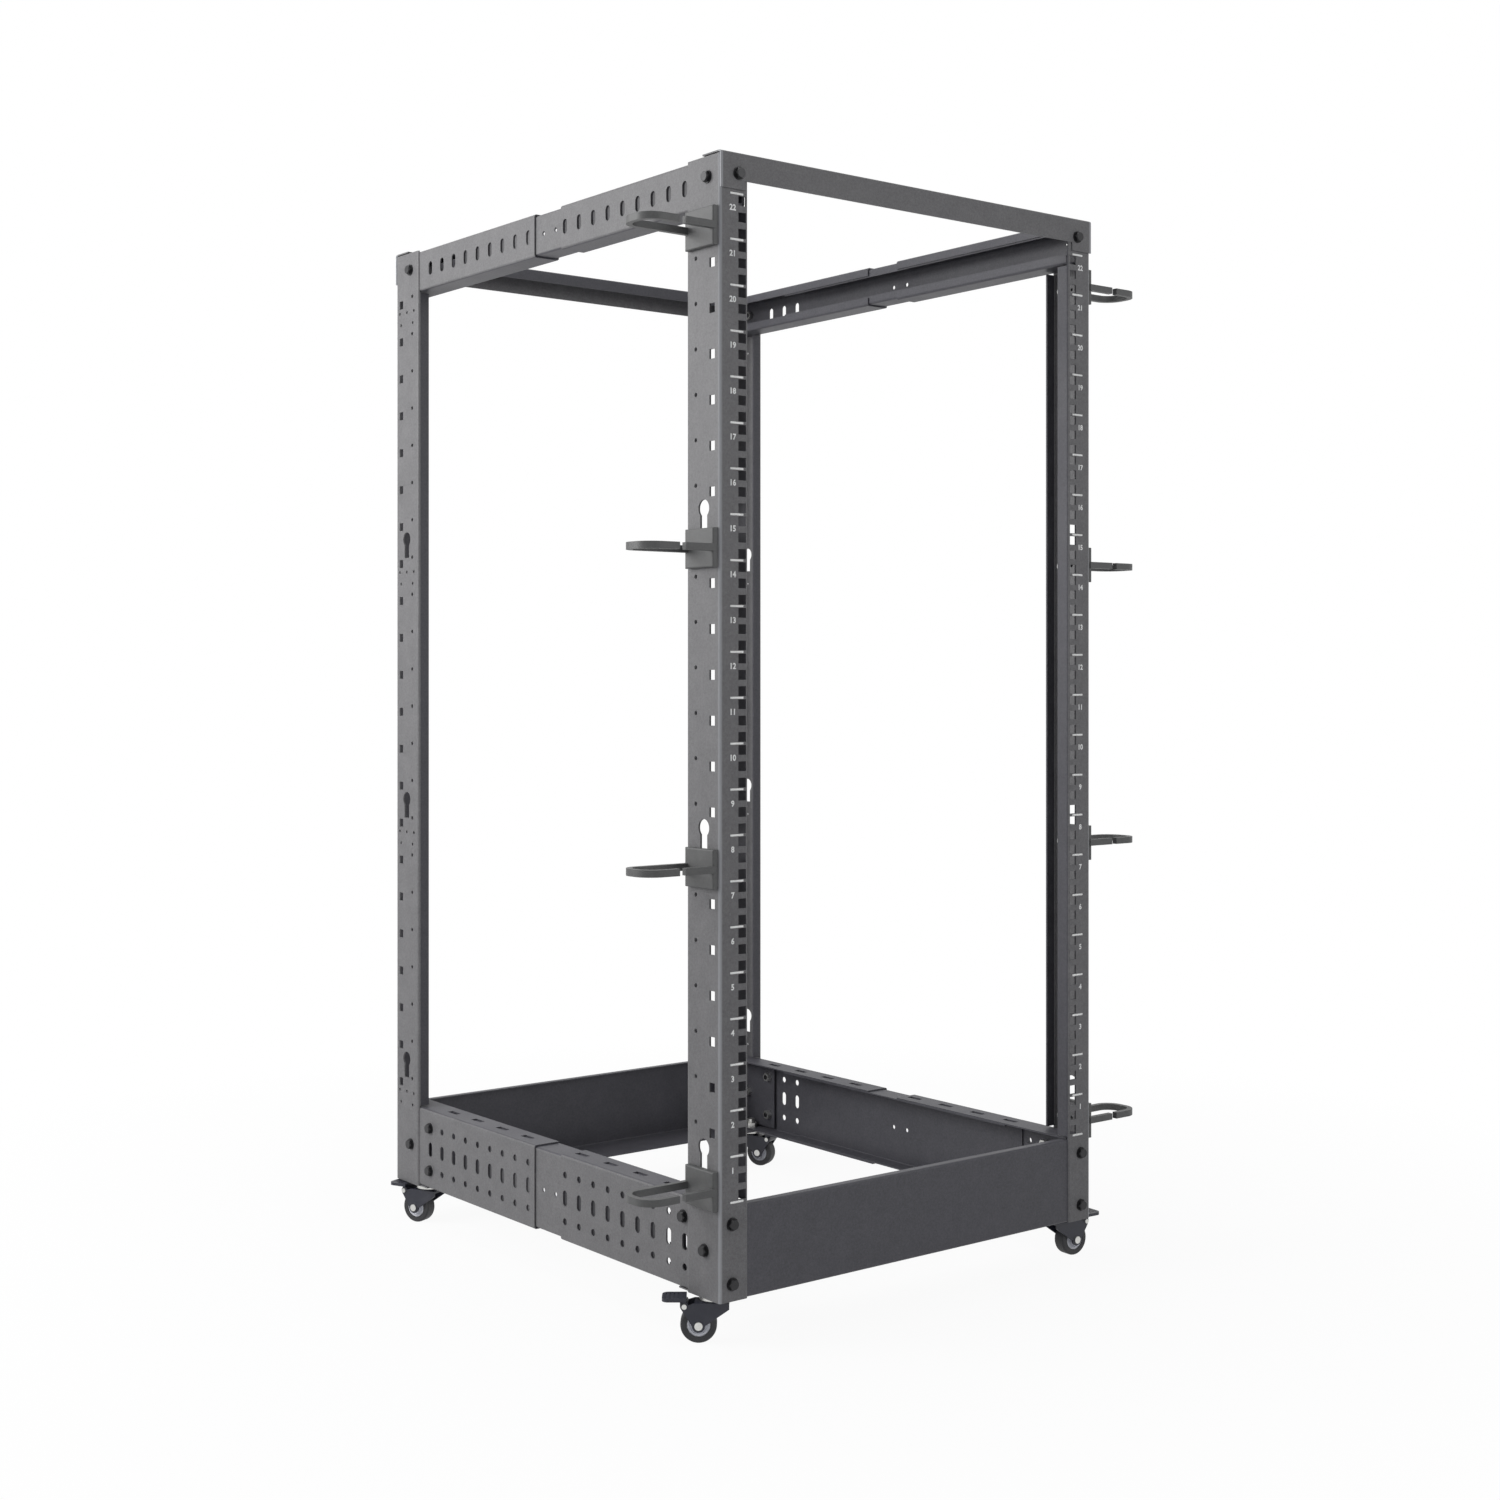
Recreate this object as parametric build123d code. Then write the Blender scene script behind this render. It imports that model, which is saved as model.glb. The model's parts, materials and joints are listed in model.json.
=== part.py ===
from build123d import *
from math import cos, radians, sin
import os

# A 22-unit open-frame rack for 19 inch equipment, on four braked swivel casters.
# Millimetres. +Z is up, -Y is the front, and the origin is on the floor at the middle of the rack.
# Each corner is drawn once as the front left one, from its outer edge inwards and from the frame's
# underside upwards, and is then mirrored to the other corners.

os.makedirs("parts", exist_ok=True)

# Frame as a whole
FRAME_WIDTH = 520.0
FRAME_DEPTH = 645.0
CASTER_HEIGHT = 46.0
RACK_UNITS = 22
UNIT = 44.45
ABOVE_FIRST_UNIT = 40.1
BELOW_LAST_UNIT = 96.0
FRAME_HEIGHT = BELOW_LAST_UNIT + RACK_UNITS * UNIT + ABOVE_FIRST_UNIT
SLIDE_GAP = 0.3
SEAT_GAP = 0.5
RAIL_CLEARANCE = 2.0
CUT = 4.0

# Posts: folded C sections, open to the inside of the rack
POST_SHEET = 2.0
BEND = 1.2
RACK_FLANGE = 35.0
RACK_LIP = 16.0
SIDE_FLANGE = 54.0
RETURN_LIP = 14.0
RACK_HOLE = 9.5
RACK_HOLE_SPAN = 465.1
RACK_HOLE_DROPS = (6.35, 22.225, 38.1)
CAGE_HOLE = (8.5, 9.5)
CAGE_HOLE_INSET = 12.3
ROUND_HOLE_R = 2.25
ROUND_HOLE_INSET = 38.8
ROUND_HOLE_DROP = 15.0

# Cable rings on the front posts, each below a keyhole, and the holes that hold them
RING_UNITS = 7
RING_COUNT = 4
RING_LOWEST = 108.0
RING_LINE = 25.8
KEYHOLE_RISE = 39.0
KEYHOLE_COUNT = 3
KEYHOLE_HEAD_R = 8.65
KEYHOLE_NECK = 11.0
KEYHOLE_DROP = 22.0
RING_HOLE_R = 1.8
RING_HOLE_PITCH = 17.0
LOWER_HOLE_DROP = 14.0
LOWER_HOLE_PITCH = 28.0
RING_BASE = (6.2, 46.0, 38.5)
RING_REACH = 85.0
RING_WIDTH = 48.0
RING_BAR = 6.0
RING_THICK = 7.0
RING_CORNER = 20.0
RING_BASE_ROUND = 1.5
RING_MOUTH_START = 39.0
RING_MOUTH = 7.0
SCREW_R = 1.75
SCREW_HEAD_R = 3.6
SCREW_HEAD = 2.2
SCREW_DEPTH = 4.5

# Top beams: a web over the outside of the posts, a top flange that caps them and a stiffening lip
BEAM_SHEET = 1.5
BEAM_WEB = 27.0
BEAM_EAR_HEIGHT = 36.0
BEAM_EAR_WIDTH = 30.0
BEAM_FLANGE = 29.5
BEAM_LIP = 14.0

# Bottom panels: a tall web behind the post flanges, a wide caster flange and two end tabs
PANEL_SHEET = 1.5
PANEL_HEIGHT = 91.5
PANEL_FLANGE = 68.0
PANEL_HEM = 10.0
PANEL_TAB_DEPTH = 90.0
PANEL_TAB_BOTTOM = 6.0
PANEL_TAB_TOP = 86.0

# Side rails: a sleeve at each end, and a middle section fixed in the front one that slides in the rear one
RAIL_SHEET = 1.5
FRONT_SLEEVE_END = 284.0
REAR_SLEEVE_START = 337.0
RAIL_OVERLAP = 165.0
LOW_MIDDLE_START = 100.0
TOP_RAIL_HEIGHT = 43.5
TOP_RAIL_DROP = 5.5
TOP_RAIL_FLANGE = 28.2
TOP_RAIL_LIP = 10.0
BOTTOM_RAIL_TOP_FLANGE = 30.0
BOTTOM_RAIL_LOW_FLANGE = 22.2
SLOT_COLUMNS = 9
SLOT_PITCH = 27.0
SLOT_STARTS = {"front": 60.0, "rear": 350.0}
TAB_SLOT_COLUMNS = 2
TOP_SLOT = (8.2, 16.0)
BOTTOM_SLOT = (8.2, 17.0)
ROW_OFFSET = 25.0
ROW_HOLE_R = 3.7
SEAM_HOLE_R = 2.5
SEAM_HOLES = (297.0, 321.0)
FLANGE_SLOT = (7.0, 20.0)
FLANGE_SLOT_COUNT = 4
FLANGE_SLOT_PITCH = 54.0
FLANGE_SLOT_STARTS = {"front": 105.5, "rear": 377.0}

# Hexagon flange bolts and nuts
BOLT_R = 2.95
BOLT_HOLE_R = 3.3
BOLT_FLANGE_R = 6.5
BOLT_FLANGE = 1.2
BOLT_HEX = 10.0
BOLT_HEAD = 5.0
BOLT_CHAMFER = 0.4
NUT_BORE_R = 3.0
NUT_HEIGHT = 5.0
BOLT_TAIL = 1.0
SPACER_R = 6.0
EAR_BOLT = (22.0, 20.5)
TOP_RAIL_BOLT_DROP = 23.0
TOP_BOLT_INSETS = {"front": 20.0, "rear": 34.0}
LOW_BOLT_HEIGHT = 47.0
LOW_BOLT_INSETS = {"front": 24.5, "rear": 36.0}
PANEL_BOLT_INSET = 15.0
PANEL_BOLT_HEIGHTS = (17.0, 75.0)
TAB_BOLT_INSETS = {"front": 62.0, "rear": 78.0}

# Casters: a threaded stem, a fork that swivels under it, a wheel and a pedal brake
STEM_FROM_SIDE = 17.0
STEM_INSETS = {"front": 30.0, "rear": 52.0}
STEM_R = 4.9
STEM_HOLE_R = 5.2
STEM_TOP = 14.0
STEM_NUT_HEX = 16.0
STEM_NUT = 6.0
HEAD_PLATE_R = 16.0
HEAD_PLATE = 3.0
SWIVEL_PIN_R = 4.0
RUNNING_GAP = 0.05
RIVET_R = 6.0
RIVET_HEAD = 2.5
RACE_R = 12.0
RACE_HEIGHT = 2.7
RACE_SLOPE = 2.0
FORK_PLATE = 2.5
CHEEK = 2.0
CHEEK_INSIDE = 9.0
CHEEK_EYE_R = 6.5
CHEEK_SKIRT = 6.0
FORK_BACK = 14.0
FORK_FRONT = 20.0
PEDAL_EYE_R = 4.0
WHEEL_TRAIL = 16.0
WHEEL_R = 18.0
TYRE_WIDTH = 15.0
TYRE_BORE_R = 11.5
TYRE_ROUND = 2.5
CORE_WIDTH = 13.0
CORE_RECESS = 1.8
CORE_RIM = 2.2
HUB_R = 5.2
AXLE_R = 2.5
AXLE_HEAD_R = 4.0
AXLE_HEAD = 1.6
PEDAL_PIN_HEAD_R = 2.5
PEDAL_PIVOT = (30.0, 37.0)
PEDAL_PIN_R = 1.5
PEDAL_HUB_R = 4.2
PEDAL_HUB_HALF = 8.6
PEDAL_TIP = 52.0
PEDAL_BACK = 28.0
PEDAL_HALF_WIDTH = 12.5
PEDAL_UNDERSIDE = 41.5
PEDAL_TOP = 44.8
PEDAL_TREADS = 4
PEDAL_GROOVE = 1.2
PEDAL_GROOVE_DEPTH = 0.6
PEDAL_GROOVE_HALF = 8.75
PEDAL_NECK = 2.0
BRAKE_PAD_R = 1.5
BRAKE_PAD_REACH = 3.6
BRAKE_PAD_LEAD = 20.0
CASTER_TURNS = {
    "front_left": 141.9,
    "front_right": -4.0,
    "rear_left": 113.9,
    "rear_right": -66.1,
}

CORNERS = ("front_left", "front_right", "rear_left", "rear_right")
SIDES = ("left", "right")
ENDS = ("front", "rear")
SECTIONS = ("front", "middle", "rear")

# Places that follow from the sizes above, counted inwards from a corner or upwards from the underside
POST_TOP = FRAME_HEIGHT - BEAM_SHEET - BEND
RACK_HOLE_INSET = (FRAME_WIDTH - RACK_HOLE_SPAN) / 2
SLEEVE_FACE = POST_SHEET
INNER_FACE = SLEEVE_FACE + RAIL_SHEET + SLIDE_GAP
INNER_BACK = INNER_FACE + RAIL_SHEET
TAB_FACE = INNER_BACK + SLIDE_GAP
TAB_BACK = TAB_FACE + PANEL_SHEET
PANEL_BACK = POST_SHEET + PANEL_SHEET
RAIL_END = PANEL_BACK + BEND
SLEEVE_WALL = RAIL_SHEET + SLIDE_GAP
RAIL_SHEETS = {"front": SLEEVE_WALL, "middle": RAIL_SHEET, "rear": RAIL_SHEET}
MIDDLE_END = REAR_SLEEVE_START + RAIL_OVERLAP
LOW_RAIL_BOTTOM = PANEL_SHEET + SLEEVE_WALL
LOW_RAIL_HEIGHT = PANEL_HEIGHT - LOW_RAIL_BOTTOM
LOW_ROW_MIDDLE = LOW_RAIL_BOTTOM + LOW_RAIL_HEIGHT / 2
TOP_RAIL_TOP = FRAME_HEIGHT - TOP_RAIL_DROP
TOP_RAIL_BOTTOM = TOP_RAIL_TOP - TOP_RAIL_HEIGHT
TOP_BOLT_HEIGHT = FRAME_HEIGHT - TOP_RAIL_BOLT_DROP
LIP_INSET = RACK_FLANGE + 1.0
RING_HEIGHTS = [RING_LOWEST + RING_UNITS * UNIT * i for i in range(RING_COUNT)]
FORK_TOP = CASTER_HEIGHT - HEAD_PLATE - SLIDE_GAP - RACE_HEIGHT
EYE_LEAN = radians(37)


def block(x0, x1, y0, y1, z0, z1):
    """A box between two values on each axis."""
    middle = Pos((x0 + x1) / 2, (y0 + y1) / 2, (z0 + z1) / 2)
    return middle * Box(x1 - x0, y1 - y0, z1 - z0)


def rod(radius, start, end):
    """A cylinder from one point to another."""
    axis = Vector(*end) - Vector(*start)
    return Plane(origin=start, z_dir=axis) * extrude(Circle(radius), axis.length)


def bent_sheet(points, sheet):
    """The section of a folded sheet whose outer side follows the points, with the metal on the right."""
    corners = [Vector(*point) for point in points]
    sides = []
    for here, after in zip(corners, corners[1:]):
        along = (after - here).normalized()
        sides.append(Vector(along.Y, -along.X) * sheet)
    shifts = [sides[0]] + [one + two for one, two in zip(sides, sides[1:])] + [sides[-1]]
    inside = [corner + shift for corner, shift in zip(corners, shifts)]
    outer = FilletPolyline(*corners, radius=BEND + sheet)
    inner = FilletPolyline(*inside, radius=BEND)
    ends = [Line(corners[0], inside[0]), Line(corners[-1], inside[-1])]
    return make_face(outer.edges() + inner.edges() + ends)


def run_along_x(section, start, end):
    """Stretch a section drawn in Y and Z from one X to another."""
    return extrude(Plane.YZ.offset(start) * section, end - start)


def run_along_y(section, start, end):
    """Stretch a section drawn in X and Z from one Y to another."""
    plane = Plane(origin=(0, end, 0), x_dir=(1, 0, 0), z_dir=(0, -1, 0))
    return extrude(plane * section, end - start)


def slot_cut(x0, x1, y, z, width, height):
    """A cutter for an upright slot with round ends, through a wall that faces sideways."""
    straight = height - width
    cut = block(x0, x1, y - width / 2, y + width / 2, z - straight / 2, z + straight / 2)
    cut += rod(width / 2, (x0, y, z - straight / 2), (x1, y, z - straight / 2))
    return cut + rod(width / 2, (x0, y, z + straight / 2), (x1, y, z + straight / 2))


def unit_line(number):
    """Height of the line under a rack unit, above the underside of the frame."""
    return FRAME_HEIGHT - ABOVE_FIRST_UNIT - UNIT * number


def at_corner(shape, corner):
    """Move a piece from the front left drawing position to its own corner."""
    moved = Pos(-FRAME_WIDTH / 2, -FRAME_DEPTH / 2, CASTER_HEIGHT) * shape
    if corner.endswith("right"):
        moved = mirror(moved, about=Plane.YZ)
    if corner.startswith("rear"):
        moved = mirror(moved, about=Plane.XZ)
    return moved


def write(shape, node):
    """Save one node, as one solid or as a group of separate solids."""
    solids = shape if isinstance(shape, list) else [shape]
    export_step(solids[0] if len(solids) == 1 else Compound(children=solids), f"parts/{node}.step")


# Posts

def rack_holes():
    """The square holes for cage nuts, three in each unit of the rack flange."""
    half = RACK_HOLE / 2
    cuts = []
    for number in range(RACK_UNITS):
        for drop in RACK_HOLE_DROPS:
            z = unit_line(number) - drop
            x = RACK_HOLE_INSET
            cuts.append(block(x - half, x + half, -CUT, CUT, z - half, z + half))
    return cuts


def side_holes():
    """The square and the round hole in each unit of the side flange."""
    wide, tall = CAGE_HOLE
    cuts = []
    for number in range(RACK_UNITS):
        z = unit_line(number) - UNIT / 2
        y = CAGE_HOLE_INSET
        cuts.append(block(-CUT, CUT, y - wide / 2, y + wide / 2, z - tall / 2, z + tall / 2))
        z = unit_line(number) - ROUND_HOLE_DROP
        cuts.append(rod(ROUND_HOLE_R, (-CUT, ROUND_HOLE_INSET, z), (CUT, ROUND_HOLE_INSET, z)))
    return cuts


def keyhole(z):
    """A keyhole with its round head at the given height and its neck below."""
    half = KEYHOLE_NECK / 2
    head = rod(KEYHOLE_HEAD_R, (-CUT, RING_LINE, z), (CUT, RING_LINE, z))
    return head + block(-CUT, CUT, RING_LINE - half, RING_LINE + half, z - KEYHOLE_DROP, z)


def ring_holes():
    """The keyholes, and the small holes that a cable ring can be screwed to."""
    cuts = [keyhole(height + KEYHOLE_RISE) for height in RING_HEIGHTS[:KEYHOLE_COUNT]]
    for height in RING_HEIGHTS:
        spots = [(RING_LINE + RING_HOLE_PITCH * i, height) for i in (-1, 0, 1)]
        spots += [(RING_LINE + LOWER_HOLE_PITCH / 2 * i, height - LOWER_HOLE_DROP) for i in (-1, 1)]
        cuts += [rod(RING_HOLE_R, (-CUT, y, z), (CUT, y, z)) for y, z in spots]
    return cuts


def post_bolt_holes(end):
    """The holes for the bolts that hold a beam, a panel and two rails."""
    low, top = LOW_BOLT_INSETS[end], TOP_BOLT_INSETS[end]
    ear_x, ear_drop = EAR_BOLT
    cuts = [rod(BOLT_HOLE_R, (-CUT, low, LOW_BOLT_HEIGHT), (CUT, low, LOW_BOLT_HEIGHT))]
    cuts.append(rod(BOLT_HOLE_R, (-CUT, top, TOP_BOLT_HEIGHT), (CUT, top, TOP_BOLT_HEIGHT)))
    front = [(ear_x, FRAME_HEIGHT - ear_drop)] + [(PANEL_BOLT_INSET, z) for z in PANEL_BOLT_HEIGHTS]
    cuts += [rod(BOLT_HOLE_R, (x, -CUT, z), (x, CUT, z)) for x, z in front]
    return cuts


def lip_notches():
    """Cutters that clear both lips of a post where the rails and the panel pass them."""
    bend = POST_SHEET + BEND
    cuts = []
    for low, high in ((-CUT, PANEL_HEIGHT + SLEEVE_WALL + RAIL_CLEARANCE),
                      (TOP_RAIL_BOTTOM - SLEEVE_WALL - RAIL_CLEARANCE, FRAME_HEIGHT)):
        cuts.append(block(POST_SHEET, RETURN_LIP + CUT, SIDE_FLANGE - bend, SIDE_FLANGE + CUT, low, high))
        cuts.append(block(RACK_FLANGE - bend, RACK_FLANGE + CUT, POST_SHEET, RACK_LIP + CUT, low, high))
    return cuts


def post(end):
    """A corner post with all its holes."""
    section = bent_sheet(
        [(RACK_FLANGE, RACK_LIP), (RACK_FLANGE, 0), (0, 0), (0, SIDE_FLANGE), (RETURN_LIP, SIDE_FLANGE)],
        POST_SHEET)
    cuts = rack_holes() + side_holes() + ring_holes() + post_bolt_holes(end) + lip_notches()
    return extrude(section, POST_TOP) - cuts


# Top beams and bottom panels, drawn at the front

def top_beam():
    """A folded beam with a tall ear at each end that laps over the post."""
    top = FRAME_HEIGHT
    face = -BEAM_SHEET
    back = face + BEAM_FLANGE
    lipped = bent_sheet(
        [(face, top - BEAM_WEB), (face, top), (back, top), (back, top - BEAM_LIP)], BEAM_SHEET)
    plain = bent_sheet([(face, top - BEAM_EAR_HEIGHT), (face, top), (back, top)], BEAM_SHEET)
    beam = run_along_x(lipped, LIP_INSET, FRAME_WIDTH - LIP_INSET)
    for start, end in ((0, LIP_INSET), (FRAME_WIDTH - LIP_INSET, FRAME_WIDTH)):
        beam += run_along_x(plain, start, end)
    cut = top - BEAM_EAR_HEIGHT
    reach = FRAME_WIDTH - BEAM_EAR_WIDTH
    beam -= block(BEAM_EAR_WIDTH, reach, face - CUT, 0, cut - CUT, top - BEAM_WEB)
    ear_x, ear_drop = EAR_BOLT
    z = top - ear_drop
    return beam - [rod(BOLT_HOLE_R, (x, face - CUT, z), (x, CUT, z)) for x in (ear_x, FRAME_WIDTH - ear_x)]


def panel_holes(end):
    """The holes for the post bolts, the tab bolts and the caster stems."""
    through = (TAB_FACE - CUT, TAB_BACK + CUT)
    y = STEM_INSETS[end]
    cuts = [rod(STEM_HOLE_R, (STEM_FROM_SIDE, y, -CUT), (STEM_FROM_SIDE, y, CUT))]
    for z in PANEL_BOLT_HEIGHTS:
        cuts.append(rod(BOLT_HOLE_R, (PANEL_BOLT_INSET, 0, z), (PANEL_BOLT_INSET, PANEL_BACK + CUT, z)))
    tab = [(LOW_BOLT_INSETS[end], LOW_BOLT_HEIGHT)]
    tab += [(TAB_BOLT_INSETS[end], z) for z in tab_bolt_heights(end)]
    cuts += [rod(BOLT_HOLE_R, (through[0], y, z), (through[1], y, z)) for y, z in tab]
    if end == "front":
        cuts += web_pattern(slot_positions(end)[:TAB_SLOT_COLUMNS], through)
    return cuts + [mirror(cut, about=Plane.YZ.offset(FRAME_WIDTH / 2)) for cut in cuts]


def tab_bolt_heights(end):
    """Heights of the bolts that join a low rail to the panel's tab."""
    upper = LOW_ROW_MIDDLE + ROW_OFFSET
    return (upper,) if end == "front" else (upper, LOW_ROW_MIDDLE - ROW_OFFSET)


def bottom_panel(end):
    """A tray-like panel: web, hem, caster flange and a tab beside each low rail."""
    face = POST_SHEET
    inside = FRAME_WIDTH - LIP_INSET
    hemmed = bent_sheet(
        [(face + PANEL_FLANGE, 0), (face, 0), (face, PANEL_HEIGHT), (face + PANEL_HEM, PANEL_HEIGHT)],
        PANEL_SHEET)
    flanged = bent_sheet([(face + PANEL_FLANGE, 0), (face, 0), (face, PANEL_HEIGHT)], PANEL_SHEET)
    panel = run_along_x(hemmed, LIP_INSET, inside)
    right = FRAME_WIDTH - TAB_FACE
    for start, stop in ((TAB_FACE, LIP_INSET), (inside, right)):
        panel += run_along_x(flanged, start, stop)
    bend_back = face + PANEL_SHEET + BEND
    for start, stop in ((face + SEAT_GAP, TAB_FACE), (right, FRAME_WIDTH - face - SEAT_GAP)):
        panel += block(start, stop, bend_back, face + PANEL_FLANGE, 0, PANEL_SHEET)
    bend = PANEL_SHEET + BEND
    for start, stop in ((TAB_FACE, TAB_FACE + bend), (right - bend, right)):
        panel -= block(start, stop, face, bend_back, PANEL_TAB_BOTTOM, PANEL_TAB_TOP)
    tabs = bent_sheet(
        [(right, PANEL_TAB_DEPTH), (right, face), (TAB_FACE, face), (TAB_FACE, PANEL_TAB_DEPTH)],
        PANEL_SHEET)
    panel += Pos(0, 0, PANEL_TAB_BOTTOM) * extrude(tabs, PANEL_TAB_TOP - PANEL_TAB_BOTTOM)
    return panel - panel_holes(end)


# Side rails, drawn on the left, with Y counted from the front of the frame

def slot_positions(end):
    """Distances of the slot columns from the front of the frame."""
    return [SLOT_STARTS[end] + SLOT_PITCH * i for i in range(SLOT_COLUMNS)]


def rail_run(section, middle_start):
    """Start and end of a rail section."""
    if section == "front":
        return RAIL_END, FRONT_SLEEVE_END
    if section == "rear":
        return REAR_SLEEVE_START, FRAME_DEPTH - RAIL_END
    return middle_start, MIDDLE_END


def from_front(end, inset):
    """Turn an inset from an end of the frame into a distance from the front."""
    return inset if end == "front" else FRAME_DEPTH - inset


def seam_holes(through, z):
    """The two small holes in the bare stretch of a middle section."""
    return [rod(SEAM_HOLE_R, (through[0], y, z), (through[1], y, z)) for y in SEAM_HOLES]


def top_rail(section):
    """A lipped C channel, with a row of slots in each sleeve."""
    grow = 0 if section == "middle" else SLEEVE_WALL
    face = INNER_FACE - grow
    edge = INNER_FACE + TOP_RAIL_FLANGE + grow
    low, high = TOP_RAIL_BOTTOM - grow, TOP_RAIL_TOP + grow
    outline = bent_sheet(
        [(edge, low + TOP_RAIL_LIP), (edge, low), (face, low), (face, high), (edge, high),
         (edge, high - TOP_RAIL_LIP)], RAIL_SHEETS[section])
    rail = run_along_y(outline, *rail_run(section, RAIL_END))
    through = (face - CUT, face + CUT)
    z = (low + high) / 2
    if section == "middle":
        y = TOP_BOLT_INSETS["front"]
        cuts = seam_holes(through, z)
    else:
        y = from_front(section, TOP_BOLT_INSETS[section])
        cuts = [slot_cut(*through, column, z, *TOP_SLOT) for column in slot_positions(section)]
    return rail - cuts - rod(BOLT_HOLE_R, (through[0], y, TOP_BOLT_HEIGHT), (through[1], y, TOP_BOLT_HEIGHT))


def web_pattern(columns, through):
    """An upright slot in each column of a low web, with a small hole above and below it."""
    rows = (LOW_ROW_MIDDLE - ROW_OFFSET, LOW_ROW_MIDDLE + ROW_OFFSET)
    cuts = [slot_cut(*through, y, LOW_ROW_MIDDLE, *BOTTOM_SLOT) for y in columns]
    return cuts + [rod(ROW_HOLE_R, (through[0], y, z), (through[1], y, z)) for y in columns for z in rows]


def low_sleeve_cuts(end, face, top):
    """All the holes of a bottom sleeve: web pattern, bolts, flange slots and caster stem."""
    through = (face - CUT, face + CUT)
    cuts = web_pattern(slot_positions(end), through)
    bolts = [(LOW_BOLT_INSETS[end], LOW_BOLT_HEIGHT)]
    bolts += [(TAB_BOLT_INSETS[end], z) for z in tab_bolt_heights(end)]
    for inset, z in bolts:
        y = from_front(end, inset)
        cuts.append(rod(BOLT_HOLE_R, (through[0], y, z), (through[1], y, z)))
    wide, long = FLANGE_SLOT
    x = INNER_FACE + BOTTOM_RAIL_TOP_FLANGE / 2
    for i in range(FLANGE_SLOT_COUNT):
        y = FLANGE_SLOT_STARTS[end] + FLANGE_SLOT_PITCH * i
        cuts.append(block(x - wide / 2, x + wide / 2, y - long / 2, y + long / 2, top - CUT, top + CUT))
    y = from_front(end, STEM_INSETS[end])
    cuts.append(rod(STEM_HOLE_R, (STEM_FROM_SIDE, y, 0), (STEM_FROM_SIDE, y, CUT)))
    return cuts


def bottom_rail(section):
    """A deep C channel, with slots and holes in each sleeve."""
    grow = 0 if section == "middle" else SLEEVE_WALL
    face = INNER_FACE - grow
    low, high = LOW_RAIL_BOTTOM - grow, PANEL_HEIGHT + grow
    outline = bent_sheet(
        [(INNER_FACE + BOTTOM_RAIL_LOW_FLANGE, low), (face, low), (face, high),
         (INNER_FACE + BOTTOM_RAIL_TOP_FLANGE, high)], RAIL_SHEETS[section])
    rail = run_along_y(outline, *rail_run(section, LOW_MIDDLE_START))
    if section == "middle":
        return rail - seam_holes((face - CUT, face + CUT), LOW_ROW_MIDDLE)
    return rail - low_sleeve_cuts(section, face, high)


# Fasteners

def hexagon(across, height):
    """An upright hexagonal prism with flats facing along X."""
    shape = RegularPolygon(radius=across / 2, side_count=6, major_radius=False, rotation=30)
    return extrude(shape, height)


def bolt(place, outwards, grip):
    """A flange bolt with its head against the given place."""
    head = rod(BOLT_FLANGE_R, (0, 0, 0), (0, 0, BOLT_FLANGE))
    head += hexagon(BOLT_HEX, BOLT_HEAD) & Cone(BOLT_HEX, BOLT_HEX / 2 - BOLT_CHAMFER, 2 * BOLT_HEAD)
    shank = rod(BOLT_R, (0, 0, -grip - NUT_HEIGHT - BOLT_TAIL), (0, 0, 0))
    return Plane(origin=place, z_dir=outwards) * (head + shank)


def nut(place, outwards, grip):
    """The nut for such a bolt, drawn up against what the bolt holds."""
    body = hexagon(BOLT_HEX, NUT_HEIGHT) - rod(NUT_BORE_R, (0, 0, -CUT), (0, 0, NUT_HEIGHT + CUT))
    return Plane(origin=place, z_dir=outwards) * (Pos(0, 0, -grip - NUT_HEIGHT) * body)


def bolt_places(end):
    """Place, outward direction and grip of each bolt at one corner."""
    side, front = (-1, 0, 0), (0, -1, 0)
    ear_x, ear_drop = EAR_BOLT
    rail_back = INNER_BACK if end == "front" else SLEEVE_FACE + RAIL_SHEETS[end]
    places = [((ear_x, -BEAM_SHEET, FRAME_HEIGHT - ear_drop), front, BEAM_SHEET + POST_SHEET)]
    places += [((PANEL_BOLT_INSET, 0, z), front, PANEL_BACK) for z in PANEL_BOLT_HEIGHTS]
    places.append(((0, TOP_BOLT_INSETS[end], TOP_BOLT_HEIGHT), side, rail_back))
    places.append(((0, LOW_BOLT_INSETS[end], LOW_BOLT_HEIGHT), side, TAB_BACK))
    places += [((SLEEVE_FACE, TAB_BOLT_INSETS[end], z), side, TAB_BACK - SLEEVE_FACE)
               for z in tab_bolt_heights(end)]
    return places


def ring_between(radius, bore, start, end):
    """A washer-like ring from one point to another."""
    return rod(radius, start, end) - rod(bore, start, end)


def spacers(end):
    """The rings that fill the gap between a bottom sleeve and the panel's tab."""
    start = SLEEVE_FACE + RAIL_SHEETS[end]
    places = [(LOW_BOLT_INSETS[end], LOW_BOLT_HEIGHT)]
    places += [(TAB_BOLT_INSETS[end], z) for z in tab_bolt_heights(end)]
    return [ring_between(SPACER_R, BOLT_HOLE_R, (start, y, z), (TAB_FACE, y, z)) for y, z in places]


def stem_nut(end):
    """The nut that holds a caster stem, inside the bottom sleeve."""
    low = LOW_RAIL_BOTTOM - SLEEVE_WALL + RAIL_SHEETS[end]
    body = hexagon(STEM_NUT_HEX, STEM_NUT)
    body -= rod(STEM_R + RUNNING_GAP, (0, 0, -CUT), (0, 0, STEM_NUT + CUT))
    return Pos(STEM_FROM_SIDE, STEM_INSETS[end], low) * body


# Cable rings, drawn on the left post

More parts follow.
